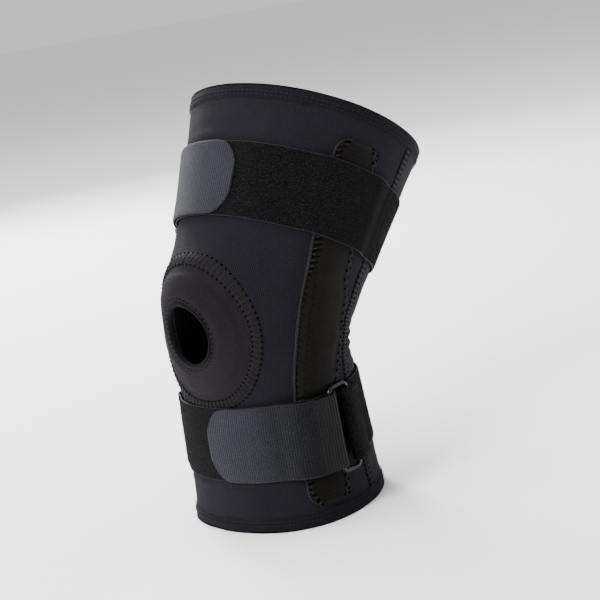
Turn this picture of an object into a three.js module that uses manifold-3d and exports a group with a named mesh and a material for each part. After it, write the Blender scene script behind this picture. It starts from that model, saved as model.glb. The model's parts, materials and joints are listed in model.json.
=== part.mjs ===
// Hinged neoprene knee brace, worn part way bent, standing on its lower hem.
// Millimetres, +Z up, the kneecap opening faces -Y, the lateral side is +X.
//
// Every cloth layer is laid out on one "leg surface": v is the distance along the
// side of the leg from the knee (calf below 0, thigh above 0), phi is the angle
// round the leg (0 at the kneecap, +90 at the lateral side, 180 at the back), and
// height is the distance out from the outer face of the neoprene.

import * as THREE from 'three';
import { mergeVertices } from 'three/addons/utils/BufferGeometryUtils.js';
import Module from 'manifold-3d';

const wasm = await Module();
wasm.setup();

// ---------------------------------------------------------------- dimensions

// leg surface
const KNEE_BEND = THREE.MathUtils.degToRad(31);
const BEND_REACH = 32;
const STATIONS = [-124, -95, -60, -35, -5, 30, 80, 150];
const FRONT_DEPTH = [54, 51, 50.5, 49.5, 62, 66, 67, 75];
const BACK_DEPTH = [78.5, 75.5, 72, 69.5, 63, 66, 74.5, 89.5];
const SIDE_WIDTH = [65, 62, 60.3, 60, 62, 63.5, 69.5, 80.5];
const KNEECAP = { rise: 9.5, v: 17, alongSpread: 15, roundSpread: 0.6 };

// sleeve
const CALF_LENGTH = 124;
const THIGH_LENGTH = 150;
const NEOPRENE = 3.5;
const SEAM_GAP = 0.3;
const KNEE_ZONE = 40;
const HEM_WIDTH = 8.5;
const HEM_PROUD = 0.6;

// kneecap panel and opening: half sizes along v (mm) and round phi (degrees)
const PANEL = { v: -3.4, alongHalf: 34.4, roundHalf: 48 };
const OPENING = { v: -2.5, alongHalf: 12.5, roundHalf: 17.5 };
const BINDING_WIDTH = 0.1;
const PAD_SPAN = [0.14, 0.62];
const PAD_THICKNESS = 3;
const CORE_REACH = 20;
const CUT_START = -0.2;
const PANEL_INNER_EDGE = BINDING_WIDTH + 0.015;

// hinge pocket on each side
const POCKET_ANGLE = [79, 80, 82, 84, 88, 88, 83, 80];
const POCKET_HALF = 17;
const POCKET_WALL_HALF = 14.5;
const POCKET_CAVITY_HALF = 13.3;
const POCKET_CLOTH = 1.2;
const POCKET_LINING = 0.7;
const POCKET_HEIGHT = 3.8;
const POCKET_BULGE = 3.9;
const POCKET_BULGE_SPAN = { end: 41, ramp: 13 };
const POCKET_EDGE_DROP = 0.6;
const POCKET_CROWN_HALF = 5;
const POCKET_TOP = 128;
const POCKET_BOTTOM = -112;
const POCKET_END_RAMP = 3;
const POCKET_END_SEAM = 4;
const CAVITY_OVERLAP = 4;

// hinge: two flat stays between cover plates, on one rivet
const PIVOT = { x: 63.7, y: 2, z: 0 };
const THIGH_STAY_LEAN = THREE.MathUtils.degToRad(24);
const CALF_STAY_LEAN = THREE.MathUtils.degToRad(6);
const STAY_THICKNESS = 1.8;
const STAY_HALF_WIDTH = 7;
const NECK_HALF_WIDTH = 5.5;
const STAY_LIFT = 0.2;
const THIGH_STAY_END = 114;
const CALF_STAY_END = -101;
const NECK_TAPER = { start: 4, end: 8 };
const FLAT_LENGTH = 30;
const FLAT_RAMP = 11;
const STRIP_OVERLAP = 2;
const HEAD_RADIUS = 8.5;
const HEAD_CLEARANCE = 0.4;
const STOP_RADIUS = 11.3;
const THIGH_STOP = [110, 179];
const CALF_STOP = [1, 70];
const PLATE = { radius: 11.5, endRadius: 7.5, length: 20, thickness: 0.9, offset: 1.5 };
const WASHER = { radius: 7.5, bore: 2.3, thickness: 0.3, offset: 1.05 };
const PIVOT_RIVET = { shank: 2, head: 4 };
const PLATE_RIVET = { shank: 1.3, head: 2.6 };
const PLATE_RIVET_REACH = [14, 21];
const RIVET_HEAD = { offset: 2.55, thickness: 0.6, crown: 0.7 };
const BORE_CLEARANCE = 0.2;
const TIP = { length: 9, wall: 0.8, overlap: 6 };

// straps: 50 mm webbing, a ring on one side, the tab folded back over the band
const STRAP_HALF = 25;
const WEBBING = 1.6;
const LAYER_GAP = 0.4;
const BAND_LIFT = 0.6;
const DRAPE = { flat: 2, ramp: 16 };
const RING_ANGLE = 87;
const RING = { halfLength: 28.6, halfWidth: 8.5, corner: 4, wire: 1.5 };
const FOLD_CLEARANCE = 0.9;
const FOLD_LEG = 15;
const KEEPER_LEG = 10;
const SEWN_ANGLE = 116;
const TAB_ROUND = 17;
const TAB_END_FULLNESS = 0.86;
const TAB_CLIMB = 22;
const STRAPS = [
  { name: 'lower', middle: -64, tabEnd: -1, mirrored: false },
  { name: 'upper', middle: 86, tabEnd: -18, mirrored: true },
];

// the middle of the whole brace's footprint, measured from the knee
const FOOTPRINT_CENTRE = { x: -2.7, y: 46.7 };

// ---------------------------------------------------------------- materials

const material = (color, roughness, metalness = 0) =>
  new THREE.MeshStandardMaterial({ color, roughness, metalness });

const NEOPRENE_CLOTH = material('#2a282f', 0.85);
const PANEL_CLOTH = material('#2b282a', 0.85);
const POCKET_FABRIC = material('#1b1916', 0.8);
const HEM_TAPE = material('#1d1b20', 0.85);
const BINDING_TAPE = material('#1a181b', 0.8);
const FOAM = material('#333236', 0.95);
const PILE = material('#101011', 1);
const HOOK_TAPE = material('#3d3d46', 0.75);
const ALUMINIUM = material('#b6b8bb', 0.35, 1);
const STEEL = material('#8d8f92', 0.3, 1);
const BLACK_NICKEL = material('#3a3b3d', 0.25, 1);
const NYLON = material('#d9d8d2', 0.5);
const VINYL = material('#141414', 0.5);

// ---------------------------------------------------------------- helpers

const radians = THREE.MathUtils.degToRad;
const degrees = THREE.MathUtils.radToDeg;

function spread(from, to, steps) {
  return Array.from({ length: steps + 1 }, (_, step) => from + ((to - from) * step) / steps);
}

function smooth(value) {
  const t = THREE.MathUtils.clamp(value, 0, 1);
  return t * t * (3 - 2 * t);
}

// smooth curve through one value per station
function along(values, v) {
  const last = STATIONS.length - 1;
  const slope = (i) => {
    const before = Math.max(i - 1, 0);
    const after = Math.min(i + 1, last);
    return (values[after] - values[before]) / (STATIONS[after] - STATIONS[before]);
  };
  const at = THREE.MathUtils.clamp(v, STATIONS[0], STATIONS[last]);
  const from = Math.min(STATIONS.findLastIndex((station) => station <= at), last - 1);
  const span = STATIONS[from + 1] - STATIONS[from];
  const t = (at - STATIONS[from]) / span;
  const rise = t * t * (3 - 2 * t);
  return values[from] * (1 - rise) + values[from + 1] * rise
    + slope(from) * span * t * (1 - t) * (1 - t)
    - slope(from + 1) * span * t * t * (1 - t);
}

// middle line of the leg in the YZ plane, with the direction of its front
function spine(v) {
  const thigh = new THREE.Vector2(Math.sin(KNEE_BEND), Math.cos(KNEE_BEND));
  const low = new THREE.Vector2(0, -BEND_REACH);
  const high = thigh.clone().multiplyScalar(BEND_REACH);
  const u = THREE.MathUtils.clamp((v + BEND_REACH) / (2 * BEND_REACH), 0, 1);
  const tangent = low.clone().multiplyScalar(u - 1).addScaledVector(high, u).normalize();
  const centre = low.clone().multiplyScalar((1 - u) * (1 - u)).addScaledVector(high, u * u);
  if (v < -BEND_REACH) centre.set(0, v);
  if (v > BEND_REACH) centre.copy(thigh).multiplyScalar(v);
  return { centre, tangent, front: new THREE.Vector2(-tangent.y, tangent.x) };
}

// the section is an oval, deeper at the back than at the front by twice the skew
function sectionDepth(v) {
  const front = along(FRONT_DEPTH, v);
  const back = along(BACK_DEPTH, v);
  return { mean: (front + back) / 2, skew: (front - back) / 2 };
}

// a point of the leg surface, phi in degrees
function skin(v, phi, height) {
  const { centre, front } = spine(v);
  const sine = Math.sin(radians(phi));
  const cosine = Math.cos(radians(phi));
  const side = along(SIDE_WIDTH, v);
  const { mean, skew } = sectionDepth(v);
  const turned = Math.atan2(sine, cosine) / KNEECAP.roundSpread;
  const climbed = (v - KNEECAP.v) / KNEECAP.alongSpread;
  const bulge = KNEECAP.rise * Math.exp(-turned * turned - climbed * climbed);
  const normal = new THREE.Vector2((mean + 2 * skew * cosine) * sine, side * cosine).normalize();
  const forward = mean * cosine + skew * cosine * cosine + bulge + height * normal.y;
  return new THREE.Vector3(
    side * sine + height * normal.x,
    centre.x + forward * front.x,
    centre.y + forward * front.y,
  );
}

// degrees round the side of the leg for a distance along its surface
const turn = (v, distance) => degrees(distance / sectionDepth(v).mean);

function geometryFrom(positions, index) {
  const geometry = new THREE.BufferGeometry();
  geometry.setAttribute('position', new THREE.Float32BufferAttribute(positions, 3));
  geometry.setIndex(index);
  return facingOut(geometry);
}

// flips a closed mesh whose faces point inwards
function facingOut(geometry) {
  const position = geometry.attributes.position;
  const index = Array.from(geometry.index.array);
  const corner = (i) => new THREE.Vector3().fromBufferAttribute(position, index[i]);
  let volume = 0;
  for (let i = 0; i < index.length; i += 3) {
    volume += corner(i).dot(corner(i + 1).cross(corner(i + 2)));
  }
  if (volume < 0) geometry.setIndex(index.reverse());
  return geometry;
}

// closed solid between two surfaces over a grid of rows and columns
function slab(rows, columns, under, over, loop = false) {
  const positions = [];
  for (const surface of [under, over]) {
    for (const row of rows) {
      for (const column of columns) positions.push(...surface(row, column).toArray());
    }
  }
  const across = columns.length;
  const at = (side, row, column) => (side * rows.length + row) * across + (column % across);
  const index = [];
  const quad = (a, b, c, d) => index.push(a, b, c, a, c, d);
  const top = rows.length - 1;
  const spans = loop ? across : across - 1;
  for (let c = 0; c < spans; c++) {
    for (let r = 0; r < top; r++) {
      quad(at(1, r, c), at(1, r, c + 1), at(1, r + 1, c + 1), at(1, r + 1, c));
      quad(at(0, r, c), at(0, r + 1, c), at(0, r + 1, c + 1), at(0, r, c + 1));
    }
    quad(at(0, 0, c), at(0, 0, c + 1), at(1, 0, c + 1), at(1, 0, c));
    quad(at(0, top, c), at(1, top, c), at(1, top, c + 1), at(0, top, c + 1));
  }
  for (let r = 0; r < top && !loop; r++) {
    const end = across - 1;
    quad(at(0, r, 0), at(1, r, 0), at(1, r + 1, 0), at(0, r + 1, 0));
    quad(at(0, r, end), at(0, r + 1, end), at(1, r + 1, end), at(1, r, end));
  }
  return geometryFrom(positions, index);
}

function toSolid(geometry) {
  const bare = geometry.clone();
  bare.deleteAttribute('normal');
  bare.deleteAttribute('uv');
  const merged = mergeVertices(bare, 1e-4);
  return new wasm.Manifold(new wasm.Mesh({
    numProp: 3,
    vertProperties: new Float32Array(merged.attributes.position.array),
    triVerts: new Uint32Array(merged.index.array),
  }));
}

function toGeometry(solid) {
  const mesh = solid.getMesh();
  return geometryFrom(Array.from(mesh.vertProperties), Array.from(mesh.triVerts));
}

const joined = (first, ...others) =>
  toGeometry(others.reduce((solid, other) => solid.add(toSolid(other)), toSolid(first)));

const cut = (first, ...others) =>
  toGeometry(others.reduce((solid, other) => solid.subtract(toSolid(other)), toSolid(first)));

const mirrored = (geometry) => facingOut(geometry.clone().scale(-1, 1, 1));

// ---------------------------------------------------------------- sleeve

const zones = {
  calf: [-CALF_LENGTH + HEM_WIDTH + SEAM_GAP, -KNEE_ZONE - SEAM_GAP / 2],
  knee: [-KNEE_ZONE + SEAM_GAP / 2, KNEE_ZONE - SEAM_GAP / 2],
  thigh: [KNEE_ZONE + SEAM_GAP / 2, THIGH_LENGTH - HEM_WIDTH - SEAM_GAP],
};

const pocketAngle = (v) => along(POCKET_ANGLE, v);
const pocketFrontEdge = (v) => pocketAngle(v) - turn(v, POCKET_HALF + SEAM_GAP);
const pocketBackEdge = (v) => pocketAngle(v) + turn(v, POCKET_HALF + SEAM_GAP);

// columns run from -1 to 1 between the two pockets
const frontAngle = (v, column) => pocketFrontEdge(v) * column;
const backAngle = (v, column) => 180 + (180 - pocketBackEdge(v)) * column;

function panel([low, high], angle, rows, columns) {
  return slab(
    spread(low, high, rows),
    spread(-1, 1, columns),
    (v, column) => skin(v, angle(v, column), -NEOPRENE),
    (v, column) => skin(v, angle(v, column), 0),
  );
}

// a point on a ray from the kneecap opening (0) to the edge of its panel (1)
function kneecapPoint(reach, spokeAngle, height) {
  const mix = (name) => OPENING[name] + (PANEL[name] - OPENING[name]) * reach;
  const v = mix('v') + mix('alongHalf') * Math.cos(spokeAngle);
  return skin(v, mix('roundHalf') * Math.sin(spokeAngle), height);
}

const spokes = spread(0, 2 * Math.PI, 32).slice(0, -1);

function kneecapRing(from, to, under, over, rows = 1) {
  return slab(
    spread(from, to, rows),
    spokes,
    (reach, spoke) => kneecapPoint(reach, spoke, under),
    (reach, spoke) => kneecapPoint(reach, spoke, over),
    true,
  );
}

// plug that closes the kneecap opening, for cutting through the sleeve
function kneecapCore() {
  const positions = [];
  const index = [];
  for (const height of [-CORE_REACH, CORE_REACH]) {
    for (const spoke of spokes) positions.push(...kneecapPoint(0, spoke, height).toArray());
    positions.push(...skin(OPENING.v, 0, height).toArray());
  }
  const count = spokes.length;
  const layer = count + 1;
  for (let i = 0; i < count; i++) {
    const next = (i + 1) % count;
    index.push(count, next, i);
    index.push(layer + count, layer + i, layer + next);
    index.push(i, next, layer + next, i, layer + next, layer + i);
  }
  return geometryFrom(positions, index);
}

function withoutKneecap(front) {
  const edge = 1 + SEAM_GAP / PANEL.alongHalf;
  return cut(front, kneecapRing(CUT_START, edge, -2 * NEOPRENE, NEOPRENE, 8), kneecapCore());
}

function hemBand(low, high) {
  return slab(
    [low, high],
    spread(0, 360, 40).slice(0, -1),
    (v, phi) => skin(v, phi, -NEOPRENE - HEM_PROUD),
    (v, phi) => skin(v, phi, HEM_PROUD),
    true,
  );
}

// ---------------------------------------------------------------- hinge pocket

// how far the pocket cloth stands out: higher over the hinge, lower over the stays,
// and level with the sleeve past its sewn ends
function pocketHeight(v) {
  const { end, ramp } = POCKET_BULGE_SPAN;
  const height = POCKET_HEIGHT + POCKET_BULGE * smooth((end - Math.abs(v)) / ramp);
  return height * smooth(Math.min(POCKET_TOP - v, v - POCKET_BOTTOM) / POCKET_END_RAMP);
}

function pocketPoint(v, distance, height) {
  return skin(v, pocketAngle(v) + turn(v, distance), height);
}

function pocketCavity(low, high) {
  return slab(
    spread(low, high, 8),
    spread(-POCKET_CAVITY_HALF, POCKET_CAVITY_HALF, 3),
    (v, distance) => pocketPoint(v, distance, -NEOPRENE + POCKET_LINING),
    (v, distance) => pocketPoint(v, distance, pocketHeight(v) - POCKET_CLOTH),
  );
}

function pocketZone(rows, cavityLow, cavityHigh) {
  const half = [POCKET_CROWN_HALF, POCKET_WALL_HALF, POCKET_HALF];
  const atEdge = (distance) => Math.abs(distance) >= POCKET_HALF;
  const cover = slab(
    rows,
    [...half.map((distance) => -distance).reverse(), ...half],
    (v, distance) => pocketPoint(v, distance, -NEOPRENE),
    (v, distance) => pocketPoint(v, distance, atEdge(distance) ? -POCKET_EDGE_DROP : pocketHeight(v)),
  );
  return cut(cover, pocketCavity(cavityLow, cavityHigh));
}

// ---------------------------------------------------------------- hinge

// flat pieces are drawn in the plane of the hinge: x towards the back, y along the stay
function flatPiece(shape, thickness, offset = 0) {
  const geometry = new THREE.ExtrudeGeometry(shape, {
    depth: thickness,
    bevelEnabled: false,
    curveSegments: 7,
  });
  geometry.translate(0, 0, offset - (offset === 0 ? thickness / 2 : 0));
  return withIndex(geometry);
}

function withIndex(geometry) {
  const bare = geometry.clone();
  bare.deleteAttribute('normal');
  bare.deleteAttribute('uv');
  return mergeVertices(bare, 1e-4);
}

function disc(radius, thickness, offset, reach = 0) {
  const shape = new THREE.Shape();
  shape.absarc(0, reach, radius, 0, 2 * Math.PI, false);
  return flatPiece(shape, thickness, offset);
}

// two round ends joined by their tangents
function linkShape(radius, endRadius, length) {
  const tilt = Math.asin((radius - endRadius) / length);
  const shape = new THREE.Shape();
  shape.absarc(0, 0, radius, Math.PI - tilt, 2 * Math.PI + tilt, false);
  shape.absarc(0, length, endRadius, tilt, Math.PI - tilt, false);
  shape.closePath();
  return shape;
}

function neckShape() {
  const side = [
    [NECK_HALF_WIDTH, 0],
    [NECK_HALF_WIDTH, HEAD_RADIUS + NECK_TAPER.start],
    [STAY_HALF_WIDTH, HEAD_RADIUS + NECK_TAPER.end],
    [STAY_HALF_WIDTH, FLAT_LENGTH],
  ];
  const otherSide = side.map(([x, y]) => [-x, y]).reverse();
  return new THREE.Shape([...side, ...otherSide].map(([x, y]) => new THREE.Vector2(x, y)));
}

// shoulder on the front edge of a stay: the two shoulders meet when the leg is straight
function stopShape(innerRadius, from, to) {
  const shape = new THREE.Shape();
  shape.absarc(0, 0, STOP_RADIUS, radians(from), radians(to), false);
  shape.absarc(0, 0, innerRadius, radians(to), radians(from), true);
  shape.closePath();
  return shape;
}

// puts a flat piece on the hinge, its y axis leaning back from +Z
function ontoHinge(geometry, lean) {
  const basis = new THREE.Matrix4().makeBasis(
    new THREE.Vector3(0, 1, 0),
    new THREE.Vector3(0, 0, 1),
    new THREE.Vector3(1, 0, 0),
  );
  const place = new THREE.Matrix4().makeTranslation(PIVOT.x, PIVOT.y, PIVOT.z);
  place.multiply(new THREE.Matrix4().makeRotationX(-lean));
  return geometry.applyMatrix4(place.multiply(basis));
}

// angle round the leg at which a stay's middle line crosses the section at v
function stayAngle(v, lean) {
  const { centre, tangent, front } = spine(v);
  const direction = new THREE.Vector2(Math.sin(lean), Math.cos(lean));
  const pivot = new THREE.Vector2(PIVOT.y, PIVOT.z);
  const reach = centre.clone().sub(pivot).dot(tangent) / direction.dot(tangent);
  const forward = pivot.addScaledVector(direction, reach).sub(centre).dot(front);
  return degrees(Math.acos(forward / sectionDepth(v).mean));
}

// middle of the stay above the leg surface: flat at the hinge, then following the leg
function stayLift(v, lean) {
  const flat = PIVOT.x - skin(v, stayAngle(v, lean), 0).x;
  return flat + (STAY_LIFT - flat) * smooth((Math.abs(v) - FLAT_LENGTH) / FLAT_RAMP);
}

function stayStrip(low, high, lean, halfWidth, inward, outward) {
  const point = (v, distance, offset) =>
    skin(v, stayAngle(v, lean) + turn(v, distance), stayLift(v, lean) + offset);
  return slab(
    spread(low, high, 8),
    spread(-halfWidth, halfWidth, 2),
    (v, distance) => point(v, distance, -inward),
    (v, distance) => point(v, distance, outward),
  );
}

function thighStay() {
  const half = STAY_THICKNESS / 2;
  const clearance = disc(HEAD_RADIUS + HEAD_CLEARANCE, STAY_THICKNESS + 2);
  const stop = flatPiece(stopShape(HEAD_RADIUS + HEAD_CLEARANCE, ...THIGH_STOP), STAY_THICKNESS);
  const bores = PLATE_RIVET_REACH.map((reach) =>
    disc(PLATE_RIVET.shank + BORE_CLEARANCE, STAY_THICKNESS + 2, -half - 1, reach));
  const neck = cut(flatPiece(neckShape(), STAY_THICKNESS), clearance, ...bores);
  const head = ontoHinge(joined(neck, stop), THIGH_STAY_LEAN);
  const strip = stayStrip(
    FLAT_LENGTH - STRIP_OVERLAP, THIGH_STAY_END, THIGH_STAY_LEAN,
    STAY_HALF_WIDTH, half, half,
  );
  return joined(head, strip);
}

function calfStay() {
  const half = STAY_THICKNESS / 2;
  const stop = flatPiece(stopShape(HEAD_RADIUS - SEAM_GAP, ...CALF_STOP), STAY_THICKNESS);
  const body = joined(flatPiece(neckShape(), STAY_THICKNESS), disc(HEAD_RADIUS, STAY_THICKNESS), stop);
  const bore = disc(PIVOT_RIVET.shank + BORE_CLEARANCE, STAY_THICKNESS + 2, -half - 1);
  const head = ontoHinge(cut(body, bore), Math.PI + CALF_STAY_LEAN);
  const strip = stayStrip(
    CALF_STAY_END, STRIP_OVERLAP - FLAT_LENGTH, CALF_STAY_LEAN,
    STAY_HALF_WIDTH, half, half,
  );
  return joined(head, strip);
}

// vinyl cap over the end of a stay
function stayTip(end, direction, lean) {
  const half = STAY_THICKNESS / 2;
  const outer = [end - direction * TIP.overlap, end + direction * (TIP.length - TIP.overlap)];
  const inner = [end - direction * (TIP.overlap + STRIP_OVERLAP), end + direction * SEAM_GAP];
  const shell = stayStrip(
    Math.min(...outer), Math.max(...outer), lean,
    STAY_HALF_WIDTH + TIP.wall, half + TIP.wall, half + TIP.wall,
  );
  const hollow = stayStrip(
    Math.min(...inner), Math.max(...inner), lean,
    STAY_HALF_WIDTH + SEAM_GAP, half + SEAM_GAP, half + SEAM_GAP,
  );
  return cut(shell, hollow);
}

function coverPlate(offset) {
  const reach = PLATE.thickness + 2;
  const bores = PLATE_RIVET_REACH.map((distance) =>
    disc(PLATE_RIVET.shank + BORE_CLEARANCE, reach, offset - 1, distance));
  const centreBore = disc(PIVOT_RIVET.shank + BORE_CLEARANCE, reach, offset - 1);
  const outline = linkShape(PLATE.radius, PLATE.endRadius, PLATE.length);
  const plate = cut(flatPiece(outline, PLATE.thickness, offset), centreBore, ...bores);
  return ontoHinge(plate, THIGH_STAY_LEAN);
}

function washer(offset) {
  const ring = cut(
    disc(WASHER.radius, WASHER.thickness, offset),
    disc(WASHER.bore, WASHER.thickness + 2, offset - 1),
  );
  return ontoHinge(ring, THIGH_STAY_LEAN);
}

function rivet({ shank, head }, reach) {
  const base = RIVET_HEAD.offset;
  const crown = base + RIVET_HEAD.thickness;
  const profile = [
    [0, -crown], [head * RIVET_HEAD.crown, -crown], [head, -base], [shank, -base],
    [shank, base], [head, base], [head * RIVET_HEAD.crown, crown], [0, crown],
  ].map(([radius, height]) => new THREE.Vector2(radius, height));
  const geometry = new THREE.LatheGeometry(profile, 12);
  geometry.rotateX(Math.PI / 2);
  geometry.translate(0, reach, 0);
  return facingOut(ontoHinge(withIndex(geometry), THIGH_STAY_LEAN));
}

function hingeGeometries() {
  const innerOffset = (part) => -part.offset - part.thickness;
  return {
    upper_stay: [thighStay(), ALUMINIUM],
    lower_stay: [calfStay(), ALUMINIUM],
    upper_stay_tip: [stayTip(THIGH_STAY_END, 1, THIGH_STAY_LEAN), VINYL],
    lower_stay_tip: [stayTip(CALF_STAY_END, -1, CALF_STAY_LEAN), VINYL],
    outer_plate: [coverPlate(PLATE.offset), STEEL],
    inner_plate: [coverPlate(innerOffset(PLATE)), STEEL],
    outer_washer: [washer(WASHER.offset), NYLON],
    inner_washer: [washer(innerOffset(WASHER)), NYLON],
    pivot_rivet: [rivet(PIVOT_RIVET, 0), STEEL],
    plate_rivet_a: [rivet(PLATE_RIVET, PLATE_RIVET_REACH[0]), STEEL],
    plate_rivet_b: [rivet(PLATE_RIVET, PLATE_RIVET_REACH[1]), STEEL],
  };
}

// ---------------------------------------------------------------- straps

// height of the surface that a strap lies on: it bridges the edges of the pocket
function strapLay(middle, phi) {
  const turned = Math.abs(THREE.MathUtils.euclideanModulo(phi + 180, 360) - 180);
  const distance = radians(Math.abs(turned - pocketAngle(middle))) * sectionDepth(middle).mean;
  return POCKET_HEIGHT * (1 - smooth((distance - POCKET_HALF - DRAPE.flat) / DRAPE.ramp));
}

const barHeight = BAND_LIFT + WEBBING + FOLD_CLEARANCE + RING.wire;
const legOffset = RING.wire + FOLD_CLEARANCE + WEBBING / 2;
const tabBase = BAND_LIFT + WEBBING + LAYER_GAP;
const foldTop = barHeight + legOffset - WEBBING / 2;

function strapBand(middle, from, to, columns) {
  const point = (v, phi, height) => skin(v, phi, strapLay(middle, phi) + height);
  return slab(
    spread(middle - STRAP_HALF, middle + STRAP_HALF, 3),
    spread(from, to, columns),
    (v, phi) => point(v, phi, BAND_LIFT),
    (v, phi) => point(v, phi, BAND_LIFT + WEBBING),
  );
}

// webbing that follows a path of [distance round the leg, height] pairs from a ring bar
function webbingPath(middle, barAngle, path) {
  const left = (i) => {
    const before = new THREE.Vector2(...path[Math.max(i - 1, 0)]);
    const after = new THREE.Vector2(...path[Math.min(i + 1, path.length - 1)]);
    const direction = after.sub(before).normalize();
    return new THREE.Vector2(-direction.y, direction.x);
  };
  const point = (v, i, side) => {
    const normal = left(i).multiplyScalar((side * WEBBING) / 2);
    const phi = barAngle + turn(middle, path[i][0] + normal.x);
    return skin(v, phi, strapLay(middle, phi) + barHeight + path[i][1] + normal.y);
  };
  return slab(
    spread(middle - STRAP_HALF, middle + STRAP_HALF, 3),
    path.map((_, i) => i),
    (v, i) => point(v, i, -1),
    (v, i) => point(v, i, 1),
  );
}

function halfTurn(side) {
  return spread(-Math.PI / 2, Math.PI / 2, 6).map((angle) =>
    [side * legOffset * Math.cos(angle), legOffset * Math.sin(angle)]);
}

function foldGeometry(middle) {
  const leg = spread(-FOLD_LEG, 0, 3).slice(0, -1);
  return webbingPath(middle, RING_ANGLE, [
    ...leg.map((distance) => [distance, -legOffset]),
    ...halfTurn(1),
    ...leg.reverse().map((distance) => [distance, legOffset]),
  ]);
}

function keeperGeometry(middle, rearAngle) {
  return webbingPath(middle, rearAngle, [
    ...spread(KEEPER_LEG, 0, 2).slice(0, -1).map((distance) => [distance, legOffset]),
    ...halfTurn(-1).reverse(),
    ...spread(0, FOLD_LEG, 3).slice(1).map((distance) => [distance, -legOffset]),
  ]);
}

// the tab narrows to a round end and climbs onto the fold at the ring
function tabGeometry(middle, from, to) {
  const half = (phi) => {
    const distance = radians(phi - from) * along(FRONT_DEPTH, middle);
    const t = THREE.MathUtils.clamp(1 - distance / TAB_ROUND, 0, 1);
    return STRAP_HALF * Math.sqrt(1 - TAB_END_FULLNESS * t * t);
  };
  const base = (phi) => {
    const distance = radians(to - phi) * along(SIDE_WIDTH, middle);
    return tabBase + (foldTop - tabBase) * (1 - smooth(distance / TAB_CLIMB));
  };
  const point = (row, phi, height) =>
    skin(middle + row * half(phi), phi, strapLay(middle, phi) + base(phi) + height);
  const roundEnd = from + turn(middle, TAB_ROUND * 1.1);
  return slab(
    spread(-1, 1, 4),
    [...spread(from, roundEnd, 5), ...spread(roundEnd, to, 14).slice(1)],
    (row, phi) => point(row, phi, 0),
    (row, phi) => point(row, phi, WEBBING),
  );
}

// closed wire ring, a rounded rectangle with its long side along y
function ringGeometry() {
  const corners = [[1, 1, 0], [-1, 1, 90], [-1, -1, 180], [1, -1, 270]];
  const stops = corners.flatMap(([x, y, start]) => spread(start, start + 90, 4).map((angle) => ({
    x: x * (RING.halfWidth - RING.corner) + RING.corner * Math.cos(radians(angle)),
    y: y * (RING.halfLength - RING.corner) + RING.corner * Math.sin(radians(angle)),
    out: new THREE.Vector2(Math.cos(radians(angle)), Math.sin(radians(angle))),
  })));
  const sides = 8;
  const positions = stops.flatMap(({ x, y, out }) =>
    spread(0, 2 * Math.PI, sides).slice(0, -1).flatMap((angle) => {
      const reach = RING.wire * Math.cos(angle);
      return [x + out.x * reach, y + out.y * reach, RING.wire * Math.sin(angle)];
    }));
  const index = [];
  for (let i = 0; i < stops.length; i++) {
    const next = (i + 1) % stops.length;
    for (let side = 0; side < sides; side++) {
      const beside = (side + 1) % sides;
      const corner = (stop, edge) => stop * sides + edge;
      index.push(corner(i, side), corner(next, side), corner(next, beside));
      index.push(corner(i, side), corner(next, beside), corner(i, beside));
    }
  }
  return geometryFrom(positions, index);
}

// angle of the ring's rear bar, one ring width behind its front bar
function rearBarAngle(middle) {
  const radius = sectionDepth(middle).mean + POCKET_HEIGHT + barHeight;
  return RING_ANGLE + degrees((2 * RING.halfWidth) / radius);
}

function ringPlacement(middle) {
  const bar = (phi, v) => skin(v, phi, strapLay(middle, phi) + barHeight);
  const front = bar(RING_ANGLE, middle);
  const rear = bar(rearBarAngle(middle), middle);
  const rise = (phi) => bar(phi, middle + STRAP_HALF).sub(bar(phi, middle - STRAP_HALF));
  const upward = rise(RING_ANGLE).normalize();
  const outward = rear.clone().sub(front).cross(upward).normalize();
  const backward = upward.clone().cross(outward);
  const place = new THREE.Matrix4().makeBasis(backward, upward, outward);
  return place.setPosition(front.add(rear).multiplyScalar(0.5));
}

// ---------------------------------------------------------------- assembly

const brace = new THREE.Group();

function add(name, geometry, finish) {
  const mesh = new THREE.Mesh(geometry, finish);
  mesh.name = name;
  brace.add(mesh);
  return mesh;
}

function addSleeve() {
  for (const [name, zone] of Object.entries(zones)) {
    const front = panel(zone, frontAngle, name === 'knee' ? 10 : 4, 14);
    const shaped = name === 'knee' ? withoutKneecap(front) : front;
    add(`front_panel_${name}`, shaped, NEOPRENE_CLOTH);
    add(`back_panel_${name}`, panel(zone, backAngle, 4, 12), NEOPRENE_CLOTH);
  }
  const binding = kneecapRing(0, BINDING_WIDTH, -NEOPRENE - HEM_PROUD, HEM_PROUD);
  add('patella_panel', kneecapRing(PANEL_INNER_EDGE, 1, -NEOPRENE, 0, 4), PANEL_CLOTH);
  add('patella_binding', binding, BINDING_TAPE);
  const padTop = -NEOPRENE - SEAM_GAP;
  add('patella_pad', kneecapRing(...PAD_SPAN, padTop - PAD_THICKNESS, padTop, 2), FOAM);
  add('hem_band_top', hemBand(THIGH_LENGTH - HEM_WIDTH, THIGH_LENGTH), HEM_TAPE);
  add('hem_band_bottom', hemBand(-CALF_LENGTH, HEM_WIDTH - CALF_LENGTH), HEM_TAPE);
}

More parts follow.
